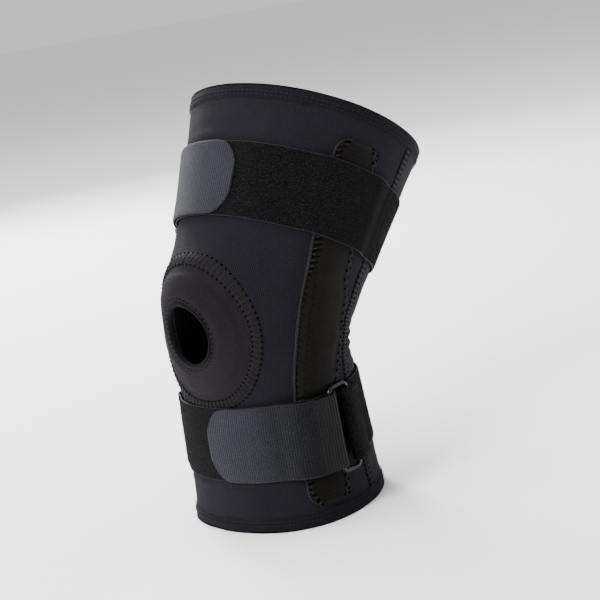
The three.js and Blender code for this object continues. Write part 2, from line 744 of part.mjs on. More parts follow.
function addPockets() {
  const [calfLow, calfHigh] = zones.calf;
  const [thighLow, thighHigh] = zones.thigh;
  const thighRows = [...spread(thighLow, POCKET_TOP - POCKET_END_RAMP, 6), POCKET_TOP, thighHigh];
  const calfRows = [calfLow, POCKET_BOTTOM, ...spread(POCKET_BOTTOM + POCKET_END_RAMP, calfHigh, 5)];
  const past = KNEE_ZONE + CAVITY_OVERLAP;
  const short = KNEE_ZONE - CAVITY_OVERLAP;
  const parts = {
    thigh: pocketZone(thighRows, short, POCKET_TOP - POCKET_END_SEAM),
    knee: pocketZone(spread(...zones.knee, 10), -past, past),
    calf: pocketZone(calfRows, POCKET_BOTTOM + POCKET_END_SEAM, -short),
  };
  for (const [name, geometry] of Object.entries(parts)) {
    add(`lateral_pocket_${name}`, geometry, POCKET_FABRIC);
    add(`medial_pocket_${name}`, mirrored(geometry), POCKET_FABRIC);
  }
}

function addHinges() {
  for (const [name, [geometry, finish]] of Object.entries(hingeGeometries())) {
    add(`lateral_${name}`, geometry, finish);
    add(`medial_${name}`, mirrored(geometry), finish);
  }
}

function addStrap({ name, middle, tabEnd, mirrored: flip }) {
  const side = (geometry) => (flip ? mirrored(geometry) : geometry);
  const legStart = RING_ANGLE - turn(middle, FOLD_LEG + SEAM_GAP);
  const rearAngle = rearBarAngle(middle);
  const backStart = rearAngle + turn(middle, FOLD_LEG + SEAM_GAP);
  const backEnd = 360 - SEWN_ANGLE - turn(middle, SEAM_GAP);
  add(`${name}_strap_band`, side(strapBand(middle, -SEWN_ANGLE, legStart, 32)), PILE);
  add(`${name}_strap_back`, side(strapBand(middle, backStart, backEnd, 18)), PILE);
  add(`${name}_strap_fold`, side(foldGeometry(middle)), HOOK_TAPE);
  add(`${name}_ring_keeper`, side(keeperGeometry(middle, rearAngle)), PILE);
  add(`${name}_strap_tab`, side(tabGeometry(middle, tabEnd, legStart)), HOOK_TAPE);
  const ring = ringGeometry().applyMatrix4(ringPlacement(middle));
  add(`${name}_ring`, side(ring), BLACK_NICKEL);
}

addSleeve();
addPockets();
addHinges();
STRAPS.forEach(addStrap);

// the origin is at the bottom centre of the whole brace
brace.position.set(-FOOTPRINT_CENTRE.x, -FOOTPRINT_CENTRE.y, CALF_LENGTH);

export default brace;
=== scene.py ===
import json
import math

import bmesh
import bpy
import numpy as np
from mathutils import Matrix, Vector


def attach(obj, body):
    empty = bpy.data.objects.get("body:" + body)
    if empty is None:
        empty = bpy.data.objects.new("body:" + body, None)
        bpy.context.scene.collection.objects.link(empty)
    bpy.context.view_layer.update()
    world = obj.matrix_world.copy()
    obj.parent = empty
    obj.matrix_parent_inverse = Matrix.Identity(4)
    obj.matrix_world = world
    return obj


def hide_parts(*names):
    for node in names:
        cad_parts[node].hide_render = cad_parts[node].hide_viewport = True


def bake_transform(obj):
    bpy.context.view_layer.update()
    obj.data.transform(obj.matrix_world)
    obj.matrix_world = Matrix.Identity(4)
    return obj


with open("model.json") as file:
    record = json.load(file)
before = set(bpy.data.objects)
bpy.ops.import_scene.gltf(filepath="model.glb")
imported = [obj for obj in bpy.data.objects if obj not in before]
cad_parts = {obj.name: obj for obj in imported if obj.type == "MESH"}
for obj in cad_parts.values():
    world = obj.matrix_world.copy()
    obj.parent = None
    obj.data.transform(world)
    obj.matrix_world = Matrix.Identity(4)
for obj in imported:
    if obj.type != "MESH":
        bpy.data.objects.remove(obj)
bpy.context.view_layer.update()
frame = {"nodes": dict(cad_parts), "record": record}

# Every cloth piece is laid out on the leg surface of the CAD model: v is the distance in
# millimetres along the side of the leg from the knee, phi the angle round it in degrees,
# 0 at the kneecap and +90 on the lateral side, and height the distance out of the cloth.

KNEE_BEND = math.radians(31)
BEND_REACH = 32
STATIONS = np.array([-124, -95, -60, -35, -5, 30, 80, 150], float)
FRONT_DEPTH = np.array([54, 51, 50.5, 49.5, 62, 66, 67, 75], float)
BACK_DEPTH = np.array([78.5, 75.5, 72, 69.5, 63, 66, 74.5, 89.5], float)
SIDE_WIDTH = np.array([65, 62, 60.3, 60, 62, 63.5, 69.5, 80.5], float)
POCKET_ANGLE = np.array([79, 80, 82, 84, 88, 88, 83, 80], float)
KNEECAP = {"rise": 9.5, "v": 17, "along_spread": 15, "round_spread": 0.6}

BOTTOM, TOP = -124, 150
NEOPRENE = 3.5
HEM = 8.5
HEM_PROUD = 0.6
BACK_SEAM = 116
PANEL = {"v": -3.4, "along": 34.4, "round": 48}
OPENING = {"v": -2.5, "along": 12.5, "round": 17.5}
PAD_SPAN = (0.14, 0.62)
PAD_THICKNESS = 3

POCKET_HALF = 17
POCKET_REACH = 17.6
POCKET_HEIGHT = 3.8
POCKET_BULGE = 3.9
POCKET_TOP, POCKET_BOTTOM = 128, -112

STRAP_HALF = 25
WEBBING = 1.6
LAYER_GAP = 0.4
BAND_LIFT = 0.6
RING_ANGLE = 87
RING = {"half_length": 28.6, "half_width": 8.5, "corner": 4, "wire": 1.5}
FOLD_CLEARANCE = 0.9
FOLD_LEG = 15
KEEPER_LEG = 10
TAB_ROUND = 17
TAB_END_FULLNESS = 0.86
TAB_CLIMB = 22
FIBRE_COUNT = {"band": 15000, "back": 9000}
FIBRE_HALF_WIDTH = 0.00009
BAR_HEIGHT = BAND_LIFT + WEBBING + FOLD_CLEARANCE + RING["wire"]
LEG_OFFSET = RING["wire"] + FOLD_CLEARANCE + WEBBING / 2
TAB_BASE = BAND_LIFT + WEBBING + LAYER_GAP
STRAPS = (
    {"name": "lower", "middle": -64, "tab_end": -1, "side": 1, "body": "calf"},
    {"name": "upper", "middle": 86, "tab_end": -18, "side": -1, "body": "thigh"},
)

# the knee joint of the frame is 2 mm behind the origin of the leg surface
KNEE_JOINT = next(j for j in frame["record"]["behaviour"]["joints"] if j["name"] == "knee_flexion")
KNEE = np.array(KNEE_JOINT["pos_m"]) - np.array([0, 0.002, 0])
THIGH_WAY = np.array([0, math.sin(KNEE_BEND), math.cos(KNEE_BEND)])
SEED = 7


# ------------------------------------------------------------------ leg surface

def smooth(value):
    t = np.clip(value, 0, 1)
    return t * t * (3 - 2 * t)


def along(values, v):
    v = np.clip(np.asarray(v, float), STATIONS[0], STATIONS[-1])
    i = np.clip(np.searchsorted(STATIONS, v, side="right") - 1, 0, len(STATIONS) - 2)
    before = np.r_[0, 0:len(STATIONS) - 1]
    after = np.r_[1:len(STATIONS), len(STATIONS) - 1]
    slope = (values[after] - values[before]) / (STATIONS[after] - STATIONS[before])
    span = STATIONS[i + 1] - STATIONS[i]
    t = (v - STATIONS[i]) / span
    rise = t * t * (3 - 2 * t)
    bend = slope[i] * (1 - t) - slope[i + 1] * t
    return values[i] * (1 - rise) + values[i + 1] * rise + bend * span * t * (1 - t)


def spine(v):
    """Middle line of the leg in the YZ plane, and the direction of its front."""
    low = np.array([0, -BEND_REACH])
    way = THIGH_WAY[1:]
    high = way * BEND_REACH
    u = np.clip((v + BEND_REACH) / (2 * BEND_REACH), 0, 1)[..., None]
    tangent = low * (u - 1) + high * u
    tangent = tangent / np.linalg.norm(tangent, axis=-1, keepdims=True)
    centre = low * (1 - u) ** 2 + high * u ** 2
    far = v[..., None]
    centre = np.where(far < -BEND_REACH, far * np.array([0, 1]), centre)
    centre = np.where(far > BEND_REACH, far * way, centre)
    return centre, np.stack([-tangent[..., 1], tangent[..., 0]], -1)


def depth(v):
    return (along(FRONT_DEPTH, v) + along(BACK_DEPTH, v)) / 2


def skin(v, phi, height):
    """Points of the leg surface in the row frame, in metres."""
    v, phi, height = np.broadcast_arrays(*(np.asarray(a, float) for a in (v, phi, height)))
    centre, front = spine(v)
    sine, cosine = np.sin(np.radians(phi)), np.cos(np.radians(phi))
    side, mean = along(SIDE_WIDTH, v), depth(v)
    skew = (along(FRONT_DEPTH, v) - along(BACK_DEPTH, v)) / 2
    turned = np.arctan2(sine, cosine) / KNEECAP["round_spread"]
    climbed = (v - KNEECAP["v"]) / KNEECAP["along_spread"]
    bulge = KNEECAP["rise"] * np.exp(-turned ** 2 - climbed ** 2)
    nx, ny = (mean + 2 * skew * cosine) * sine, side * cosine
    length = np.hypot(nx, ny)
    forward = mean * cosine + skew * cosine ** 2 + bulge + height * ny / length
    x = side * sine + height * nx / length
    flat = centre + forward[..., None] * front
    return KNEE + np.concatenate([x[..., None], flat], -1) / 1000


def turn(v, distance):
    """Degrees round the leg for a distance in millimetres along its surface."""
    return np.degrees(distance / depth(v))


def pocket_angle(v):
    return along(POCKET_ANGLE, v)


def pocket_height(v):
    height = POCKET_HEIGHT + POCKET_BULGE * smooth((41 - np.abs(v)) / 13)
    return height * smooth(np.minimum(POCKET_TOP - v, v - POCKET_BOTTOM) / 3)


def strap_lay(middle, phi):
    """Height of what a strap lies on: it bridges the edges of the pocket."""
    turned = np.abs((phi + 180) % 360 - 180)
    distance = np.radians(np.abs(turned - pocket_angle(middle))) * depth(middle)
    return POCKET_HEIGHT * (1 - smooth((distance - POCKET_HALF - 2) / 16))


def ripple(x, y, scale, seed=SEED):
    """Soft, even unevenness from -1 to 1, the same on every run."""
    random = np.random.default_rng(seed)
    total = 0
    for _ in range(7):
        way = random.uniform(0, 2 * math.pi)
        pitch = scale * random.uniform(0.6, 1.6)
        start = random.uniform(0, 2 * math.pi)
        total = total + np.sin((x * math.cos(way) + y * math.sin(way)) * 2 * math.pi / pitch + start)
    return total / 4


# ------------------------------------------------------------------ meshes

def mesh_object(name, points, faces, corner_uv, material):
    mesh = bpy.data.meshes.new(name)
    mesh.from_pydata(np.asarray(points).tolist(), [], np.asarray(faces).tolist())
    if corner_uv is not None:
        layer = mesh.uv_layers.new(name="cloth_mm")
        layer.data.foreach_set("uv", np.asarray(corner_uv, np.float32).ravel())
    mesh.polygons.foreach_set("use_smooth", np.ones(len(mesh.polygons), bool))
    mesh.materials.append(material)
    mesh.update()
    obj = bpy.data.objects.new(name, mesh)
    bpy.context.scene.collection.objects.link(obj)
    return obj


def cloth(name, over, under, uv, material, loop=False, keep=None):
    """Closed cloth between two grids of points; keep says which of its cells are there."""
    rows, columns = over.shape[:2]
    used = columns - 1 if loop else columns
    count = rows * used
    points = np.concatenate([over[:, :used].reshape(-1, 3), under[:, :used].reshape(-1, 3)])
    kept = np.ones((rows - 1, columns - 1), bool) if keep is None else keep
    at = lambda r, c: r * used + c % used
    r, c = np.nonzero(kept)
    top = np.stack([at(r, c), at(r, c + 1), at(r + 1, c + 1), at(r + 1, c)], -1)
    corners = [(r, c), (r, c + 1), (r + 1, c + 1), (r + 1, c)]
    top_uv = np.stack([uv[a, b] for a, b in corners], 1)
    faces, uvs = [top, top[:, ::-1] + count], [top_uv, top_uv[:, ::-1]]
    edges = {}
    for face, face_uv in zip(top, top_uv):
        for k in range(4):
            a, b = face[k], face[(k + 1) % 4]
            if edges.pop((b, a), None) is None:
                edges[(a, b)] = (face_uv[k], face_uv[(k + 1) % 4])
    rim = [(b, a, a + count, b + count) for a, b in edges]
    faces.append(np.array(rim).reshape(-1, 4))
    uvs.append(np.array([(ub, ua, ua, ub) for ua, ub in edges.values()]).reshape(-1, 4, 2))
    return mesh_object(name, points, np.concatenate(faces), np.concatenate(uvs), material)


def tidy_normals(obj):
    """Faces out, and loose points removed."""
    bpy.context.view_layer.objects.active = obj
    obj.select_set(True)
    bpy.ops.object.mode_set(mode="EDIT")
    bpy.ops.mesh.select_all(action="SELECT")
    bpy.ops.mesh.delete_loose(use_verts=True, use_edges=True, use_faces=False)
    bpy.ops.mesh.select_all(action="SELECT")
    bpy.ops.mesh.normals_make_consistent(inside=False)
    bpy.ops.object.mode_set(mode="OBJECT")
    obj.select_set(False)
    return obj


def thread_run(name, starts, ends, normals, material, radius=0.28, lift=0.45):
    """Short lengths of thread: each rises out of the cloth and goes back into it."""
    starts, ends, normals = (np.asarray(a) for a in (starts, ends, normals))
    steps, sides = 5, 6
    way = ends - starts
    way = way / np.linalg.norm(way, axis=-1, keepdims=True)
    across = np.cross(way, normals)
    share = np.linspace(0, 1, steps)
    arch = np.sin(share * math.pi)
    middle = starts[:, None] + (ends - starts)[:, None] * share[None, :, None]
    middle = middle + normals[:, None] * (arch[None, :, None] * lift - 0.1) / 1000
    size = radius * (0.55 + 0.45 * arch) / 1000
    angle = np.arange(sides) * 2 * math.pi / sides
    ring = (across[:, None, None] * np.cos(angle)[None, None, :, None]
            + normals[:, None, None] * np.sin(angle)[None, None, :, None])
    points = middle[:, :, None] + ring * size[None, :, None, None]
    n = len(starts)
    base = np.arange(n)[:, None, None] * steps * sides
    row = np.arange(steps - 1)[None, :, None] * sides
    side = np.arange(sides)[None, None, :]
    beside = (side + 1) % sides
    faces = np.stack(np.broadcast_arrays(
        base + row + side, base + row + beside, base + row + sides + beside, base + row + sides + side,
    ), -1).reshape(-1, 4)
    return mesh_object(name, points.reshape(-1, 3), faces, None, material)


def surface_normals(v, phi, height):
    out = skin(v, phi, height + 1) - skin(v, phi, height)
    return out / np.linalg.norm(out, axis=-1, keepdims=True)


def stitches(name, start, end, height, material, **look):
    """Threads between pairs of (v, phi) arrays that lie on the cloth at a height."""
    (v0, p0), (v1, p1) = start, end
    return thread_run(
        name, skin(v0, p0, height), skin(v1, p1, height),
        surface_normals((v0 + v1) / 2, (p0 + p1) / 2, height), material, **look,
    )


def evenly(low, high, pitch):
    return np.linspace(low, high, max(2, int(round((high - low) / pitch)) + 1))


def bend(obj, *nodes):
    """Fixes a piece where it is made and hides the CAD nodes it stands for."""
    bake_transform(obj)
    if nodes:
        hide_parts(*nodes)
    return obj


# ------------------------------------------------------------------ materials

class Finish:
    """A material whose nodes are added one by one."""

    def __init__(self, name, color, roughness, metallic=0.0):
        self.material = bpy.data.materials.new(name)
        self.material.use_nodes = True
        self.tree = self.material.node_tree
        self.shader = self.tree.nodes["Principled BSDF"]
        self.shader.inputs["Base Color"].default_value = (*color, 1)
        self.shader.inputs["Roughness"].default_value = roughness
        self.shader.inputs["Metallic"].default_value = metallic
        self.color = color
        self.material.diffuse_color = (*color, 1)

    def add(self, kind, inputs=None, **settings):
        node = self.tree.nodes.new(kind)
        for key, value in settings.items():
            setattr(node, key, value)
        for key, value in (inputs or {}).items():
            if isinstance(value, bpy.types.NodeSocket):
                self.tree.links.new(value, node.inputs[key])
            else:
                node.inputs[key].default_value = value
        return node.outputs[0]

    def math(self, operation, first, second=0.0, third=0.0):
        return self.add("ShaderNodeMath", {0: first, 1: second, 2: third}, operation=operation)

    def cloth_mm(self):
        """The two cloth directions, in millimetres."""
        uv = self.add("ShaderNodeUVMap", uv_map="cloth_mm")
        split = self.tree.nodes.new("ShaderNodeSeparateXYZ")
        self.tree.links.new(uv, split.inputs[0])
        return uv, split.outputs[0], split.outputs[1]

    def place(self):
        return self.tree.nodes.new("ShaderNodeTexCoord").outputs["Object"]

    def wave(self, value, pitch, shift=0.0):
        turned = self.math("MULTIPLY_ADD", value, 2 * math.pi / pitch, shift)
        return self.math("SINE", turned)

    def noise(self, vector, scale, detail=3.0, roughness=0.55):
        return self.add("ShaderNodeTexNoise", {
            "Vector": vector, "Scale": scale, "Detail": detail, "Roughness": roughness})

    def shade(self, factor, dark, light):
        """Base colour between two multiples of the finish's own colour."""
        ramp = self.add("ShaderNodeMix", data_type="RGBA")
        mix = ramp.node
        self.tree.links.new(factor, mix.inputs["Factor"])
        colors = [s for s in mix.inputs if s.type == "RGBA"]
        colors[0].default_value = (*(c * dark for c in self.color), 1)
        colors[1].default_value = (*(c * light for c in self.color), 1)
        result = next(s for s in mix.outputs if s.type == "RGBA")
        self.tree.links.new(result, self.shader.inputs["Base Color"])
        return result

    def rough(self, factor, low, high):
        spread = self.add("ShaderNodeMapRange", {
            "Value": factor, "To Min": low, "To Max": high})
        self.tree.links.new(spread, self.shader.inputs["Roughness"])

    def bump(self, height, millimetres, under=None):
        inputs = {"Height": height, "Distance": millimetres / 1000, "Strength": 1.0}
        if under is not None:
            inputs["Normal"] = under
        normal = self.add("ShaderNodeBump", inputs)
        self.tree.links.new(normal, self.shader.inputs["Normal"])
        return normal

    def sheen(self, weight, tint, roughness=0.45):
        self.shader.inputs["Sheen Weight"].default_value = weight
        self.shader.inputs["Sheen Roughness"].default_value = roughness
        self.shader.inputs["Sheen Tint"].default_value = (*tint, 1)

    def specular(self, level):
        self.shader.inputs["Specular IOR Level"].default_value = level


def knit_finish(name, color, rib, loop, depth_mm, sheen=0.015):
    """Jersey face of neoprene: columns of small V loops."""
    finish = Finish(name, color, 0.82)
    uv, u, v = finish.cloth_mm()
    slant = finish.math("PINGPONG", v, loop / 2)
    shifted = finish.math("MULTIPLY_ADD", slant, 0.55, u)
    rows = finish.wave(shifted, rib)
    loops = finish.wave(v, loop)
    knit = finish.math("MULTIPLY_ADD", loops, 0.35, rows)
    broad = finish.noise(uv, 0.035, 4.0)
    fine = finish.noise(uv, 2.2, 2.0)
    mixed = finish.math("MULTIPLY_ADD", knit, 0.1, broad)
    mixed = finish.math("MULTIPLY_ADD", fine, 0.35, mixed)
    finish.shade(mixed, 0.55, 1.35)
    finish.rough(broad, 0.74, 0.9)
    under = finish.bump(broad, 0.5)
    finish.bump(knit, depth_mm, under)
    finish.sheen(sheen, (0.86, 0.82, 1.0))
    finish.specular(0.06)
    return finish.material


def twill_finish(name, color, pitch=1.1):
    """Stretch woven cover: fine diagonal ribs with a cross thread."""
    finish = Finish(name, color, 0.7)
    uv, u, v = finish.cloth_mm()
    diagonal = finish.math("MULTIPLY_ADD", v, 0.6, u)
    ribs = finish.wave(diagonal, pitch)
    cross = finish.wave(v, pitch * 0.55)
    weave = finish.math("MULTIPLY_ADD", cross, 0.4, ribs)
    worn = finish.noise(uv, 0.05, 3.0)
    tone = finish.math("MULTIPLY_ADD", weave, 0.16, worn)
    finish.shade(tone, 0.6, 1.6)
    finish.rough(worn, 0.6, 0.8)
    finish.bump(weave, 0.16)
    finish.sheen(0.03, (0.9, 0.88, 0.85))
    finish.specular(0.06)
    return finish.material


def pile_finish(name, color):
    """Brushed loop pile: matted fibre with painted glints, bright specks where fibre ends catch the
    light.
    """
    finish = Finish(name, color, 0.95)
    uv, _, _ = finish.cloth_mm()
    mat = finish.noise(uv, 0.9, 5.0, 0.75)
    tuft = finish.noise(uv, 0.12, 3.0, 0.6)
    # painted glint: bright specks of colour where fibre ends would catch the light
    painted_glint = finish.math("GREATER_THAN", finish.noise(uv, 1.1, 1.0), 0.6)
    tone = finish.math("MULTIPLY_ADD", tuft, 0.5, finish.math("MULTIPLY", mat, 0.6))
    tone = finish.math("MULTIPLY", tone, 0.25)
    finish.shade(finish.math("MULTIPLY_ADD", painted_glint, 0.75, tone), 0.0, 30.0)
    under = finish.bump(tuft, 0.7)
    finish.bump(mat, 0.9, under)
    finish.sheen(0.02, (0.9, 0.9, 0.92), 0.6)
    finish.specular(0.02)
    return finish.material


def hook_finish(name, color):
    """Brushed tape: fine cords across the strap under a nap with small hooks. Painted shade darkens it
    from the end of the tab towards the ring."""
    finish = Finish(name, color, 0.72)
    uv, u, v = finish.cloth_mm()
    cords = finish.wave(u, 1.7)
    hooks = finish.math("MULTIPLY", cords, finish.wave(v, 1.5))
    nap = finish.noise(uv, 0.75, 4.0, 0.7)
    worn = finish.noise(uv, 0.05, 3.0)
    # painted shade: the tape's colour darkens from the end of the tab towards the ring
    ring_shade_painted = finish.add("ShaderNodeMapRange", {
        "Value": u, "From Min": -14.0, "From Max": -62.0, "To Min": -0.62, "To Max": 0.0})
    tone = finish.math("MULTIPLY_ADD", hooks, 0.12, finish.math("MULTIPLY", nap, 0.75))
    tone = finish.math("MULTIPLY_ADD", cords, 0.09, tone)
    tone = finish.math("MULTIPLY_ADD", worn, 0.35, tone)
    finish.shade(finish.math("ADD", tone, ring_shade_painted), 0.14, 1.5)
    under = finish.bump(nap, 0.45)
    finish.bump(finish.math("MULTIPLY_ADD", cords, 0.8, hooks), 0.2, under)
    finish.sheen(0.06, (0.9, 0.9, 1.0))
    finish.specular(0.08)
    return finish.material


def elastic_finish(name, color, pitch=1.9):
    """Woven elastic: cords that run across the strap, with fine cross threads."""
    finish = Finish(name, color, 0.6)
    uv, u, v = finish.cloth_mm()
    cords = finish.wave(u, pitch)
    threads = finish.wave(v, 0.9)
    weave = finish.math("MULTIPLY_ADD", threads, 0.22, cords)
    worn = finish.noise(uv, 0.08, 3.0)
    finish.shade(finish.math("MULTIPLY_ADD", cords, 0.28, worn), 0.4, 1.9)
    finish.rough(worn, 0.5, 0.72)
    finish.bump(weave, 0.28)
    finish.sheen(0.03, (0.9, 0.9, 0.95))
    finish.specular(0.08)
    return finish.material


def thread_finish(name, color, gloss=0.07):
    """Twisted polyester thread."""
    finish = Finish(name, color, 0.5)
    finish.specular(gloss)
    place = finish.place()
    twist = finish.noise(place, 2600.0, 2.0)
    finish.shade(twist, 0.6, 1.5)
    finish.rough(twist, 0.4, 0.62)
    finish.bump(twist, 0.12)
    return finish.material


def fibre_finish(name, color):
    """Single pile fibres: most are dark, and one in several has a painted glint, as if it caught the
    light.
    """
    finish = Finish(name, color, 0.6)
    finish.specular(0.03)
    # painted glint: a few fibres get a much lighter colour
    bright = finish.math("GREATER_THAN", finish.noise(finish.place(), 1100.0, 1.0), 0.6)
    finish.shade(bright, 0.4, 34.0)
    return finish.material


def foam_finish(name, color):
    """Foam pad in a brushed knit cover."""
    finish = Finish(name, color, 0.95)
    place = finish.place()
    cells = finish.noise(place, 900.0, 4.0)
    finish.shade(cells, 0.6, 1.4)
    finish.bump(cells, 0.4)
    finish.sheen(0.05, (0.9, 0.9, 1.0))
    return finish.material


def metal_finish(name, color, roughness, scratch=0.02, scale=220.0):
    """Plated or rolled metal, a little uneven, with fine handling marks."""
    finish = Finish(name, color, roughness, 1.0)
    place = finish.place()
    cloudy = finish.noise(place, scale, 3.0)
    fine = finish.noise(place, scale * 9, 2.0)
    finish.shade(cloudy, 0.8, 1.2)
    finish.rough(fine, roughness * 0.75, roughness * 1.35)
    finish.bump(fine, scratch)
    return finish.material


def moulded_finish(name, color, roughness):
    """Moulded or dipped plastic with a fine matt grain."""
    finish = Finish(name, color, roughness)
    place = finish.place()
    grain = finish.noise(place, 1400.0, 3.0)
    finish.shade(grain, 0.85, 1.15)
    finish.rough(grain, roughness * 0.85, roughness * 1.15)
    finish.bump(grain, 0.04)
    return finish.material


NEOPRENE_KNIT = knit_finish("neoprene_knit", (0.0058, 0.0051, 0.0074), 1.3, 1.5, 0.13)
PANEL_KNIT = knit_finish("panel_knit", (0.0062, 0.0054, 0.0060), 1.15, 1.3, 0.16)
BINDING_KNIT = knit_finish("binding_knit", (0.0022, 0.0020, 0.0024), 0.9, 1.1, 0.12)
HEM_KNIT = knit_finish("hem_knit", (0.0042, 0.0038, 0.0052), 1.1, 1.3, 0.13)
POCKET_TWILL = twill_finish("pocket_twill", (0.0016, 0.0013, 0.0010))
PILE = pile_finish("loop_pile", (0.0004, 0.0004, 0.00044))
HOOK_TAPE = hook_finish("hook_tape", (0.0138, 0.0138, 0.0188))
ELASTIC = elastic_finish("ribbed_elastic", (0.0030, 0.0029, 0.0034))
THREAD = thread_finish("dark_thread", (0.0095, 0.0089, 0.0110))
# near-black thread bits: painted shade in needle holes and stitch dents, and also the dark stitches
# round the kneecap opening
NEEDLE_SHADE_AND_THREAD = thread_finish("needle_shade_and_dark_thread", (0.0004, 0.0004, 0.0004), 0.0)
PILE_FIBRE = fibre_finish("pile_fibre", (0.0007, 0.0007, 0.00075))
PIPING = twill_finish("fold_edge", (0.0092, 0.0088, 0.0096), 0.9)
LIGHT_THREAD = thread_finish("grey_thread", (0.017, 0.0168, 0.018))
FOAM = foam_finish("pad_cover", (0.007, 0.0066, 0.008))
BLACK_NICKEL = metal_finish("black_nickel", (0.022, 0.022, 0.024), 0.26)
ALUMINIUM = metal_finish("stay_aluminium", (0.72, 0.73, 0.74), 0.36, 0.03)
ZINC = metal_finish("zinc_steel", (0.55, 0.56, 0.58), 0.32, 0.03)
NYLON = moulded_finish("washer_nylon", (0.72, 0.71, 0.66), 0.5)
VINYL = moulded_finish("dipped_vinyl", (0.012, 0.012, 0.012), 0.42)


# ------------------------------------------------------------------ sleeve

def cloth_uv(v, phi):
    """Cloth directions in millimetres: round the leg, then along it."""
    return np.stack([np.radians(phi) * 66, v * np.ones_like(phi)], -1)


def puff(v, phi):
    """How the worn neoprene stands off the even surface: soft waves everywhere, gathers
    behind the knee, and a slight drawing-in under each strap's edges."""
    around = np.radians(phi) * 66
    turned = np.abs((phi + 180) % 360 - 180)
    even = 0.35 * ripple(v, around, 46) + 0.12 * ripple(v, around, 17, SEED + 1)
    behind = np.exp(-((turned - 180) / 42) ** 2) * np.exp(-((v + 6) / 24) ** 2)
    gathers = 1.1 * np.sin((v + 0.08 * around) * 2 * math.pi / 13) * behind
    beside = np.exp(-((turned - 128) / 14) ** 2) * np.exp(-((v + 4) / 20) ** 2)
    gathers = gathers + 0.7 * np.sin((v - 0.35 * around) * 2 * math.pi / 11) * beside
    strapped = sum(np.exp(-((np.abs(v - s["middle"]) - STRAP_HALF - 5) / 4) ** 2) for s in STRAPS)
    covered = sum(smooth((STRAP_HALF + 6 - np.abs(v - s["middle"])) / 5) for s in STRAPS)
    edge = smooth(np.minimum(TOP - v, v - BOTTOM) / 18)
    near = smooth((np.abs(turned - BACK_SEAM) - 2) / 6)
    open_cloth = (even + gathers) * (1 - covered)
    return (open_cloth + 0.45 * strapped - 0.35 * covered) * edge * (0.35 + 0.65 * near)


def in_panel(v, phi):
    return np.hypot((v - PANEL["v"]) / PANEL["along"], phi / PANEL["round"])


def make_sleeve():
    """Front and back panels of the sleeve, each one length of neoprene from hem to hem."""
    rows = evenly(BOTTOM + HEM - 1, TOP - HEM + 1, 2.0)
    front_angles = evenly(-BACK_SEAM, BACK_SEAM, 1.7)
    back_angles = evenly(BACK_SEAM, 360 - BACK_SEAM, 1.8)
    for name, angles in (("front", front_angles), ("back", back_angles)):
        v, phi = np.meshgrid(rows, angles, indexing="ij")
        swell = puff(v, phi)
        middle_v, middle_phi = (v[:-1, :-1] + v[1:, 1:]) / 2, (phi[:-1, :-1] + phi[1:, 1:]) / 2
        keep = in_panel(middle_v, middle_phi) > 0.975 if name == "front" else None
        piece = cloth(
            f"sleeve_{name}_panel", skin(v, phi, swell), skin(v, phi, swell * 0.5 - NEOPRENE),
            cloth_uv(v, phi), NEOPRENE_KNIT, keep=keep,
        )
        bend(tidy_normals(piece), *(f"{name}_panel_{zone}" for zone in ("calf", "knee", "thigh")))


def hem(name, rim, inward, node):
    """Turned hem: a doubled edge with a round rim."""
    angle = np.linspace(0, 360, 181)
    profile = []
    for share in np.linspace(0, 1, 7):
        profile.append((rim + inward * (HEM + 1.5) * (1 - share), HEM_PROUD * smooth(share * 3)))
    middle, radius = -NEOPRENE / 2, NEOPRENE / 2 + HEM_PROUD
    for turned in np.linspace(math.pi / 2, -math.pi / 2, 9):
        profile.append((
            rim + inward * radius * 0.6 - inward * radius * 0.6 * math.cos(turned),
            middle + radius * math.sin(turned)))
    for share in np.linspace(0.1, 1, 7):
        profile.append((rim + inward * (HEM + 1.5) * share, -NEOPRENE - HEM_PROUD))
    v = np.array([p[0] for p in profile])[:, None] * np.ones(len(angle))
    height = np.array([p[1] for p in profile])[:, None] * np.ones(len(angle))
    phi = np.ones(len(profile))[:, None] * angle
    wavy = 0.18 * ripple(phi * 1.1, v, 30, SEED + 3)
    uv = cloth_uv(v + np.arange(len(profile))[:, None] * 0.8, phi)
    points = skin(v, phi, height + wavy)
    piece = cloth(name, points, skin(v, phi, (height + middle) / 2), uv, HEM_KNIT, loop=True)
    tidy_normals(piece)
    bend(piece, node)
    for row, distance in enumerate((HEM - 1.2, HEM - 3.8)):
        start = evenly(0, 360, 2.6)[:-1]
        line = rim + inward * distance
        first = (np.full_like(start, line), start)
        last = (np.full_like(start, line), start + 1.75)
        bend(stitches(f"{name}_stitches_{row}", first, last, HEM_PROUD + 0.15, THREAD, radius=0.3))


def flatlock(name, place, count, half, height):
    """Flat seam: threads across the join between two rows of needle holes; the holes are near-black
    thread bits, painted shade in the holes.
    place(share, distance) gives (v, phi) along the seam and across it."""
    share = np.arange(count) / count
    step = 1 / count
    for label, shift in (("a", 0.0), ("b", 0.22)):
        bend(stitches(
            f"{name}_threads_{label}", place(share + shift * step, -half),
            place(share + (shift + 0.25) * step, half), height, THREAD, radius=0.3, lift=0.45))
    for label, side in (("inner", -half), ("outer", half)):
        # needle holes: near-black bits as painted shade in the holes
        bend(stitches(
            f"{name}_holes_{label}", place(share + 0.55 * step, side),
            place(share + 0.92 * step, side), height - 0.25, NEEDLE_SHADE_AND_THREAD, radius=0.62, lift=0.3))


def seam_tape(name, place, count, half, height, material):
    """The low ridge that a flat seam makes."""
    across = np.linspace(-1, 1, 9)
    share = np.linspace(0, 1, count + 1)
    v, phi = place(share[:, None] * np.ones(9), across * (half + 0.9) * np.ones((count + 1, 1)))
    crown = height * np.sqrt(np.clip(1 - across ** 4, 0, 1)) * np.ones((count + 1, 1))
    uv = np.stack([across * half * np.ones((count + 1, 1)), share[:, None] * count * np.ones(9)], -1)
    piece = cloth(name, skin(v, phi, crown), skin(v, phi, -0.8 + crown * 0), uv, material)
    return bend(tidy_normals(piece))


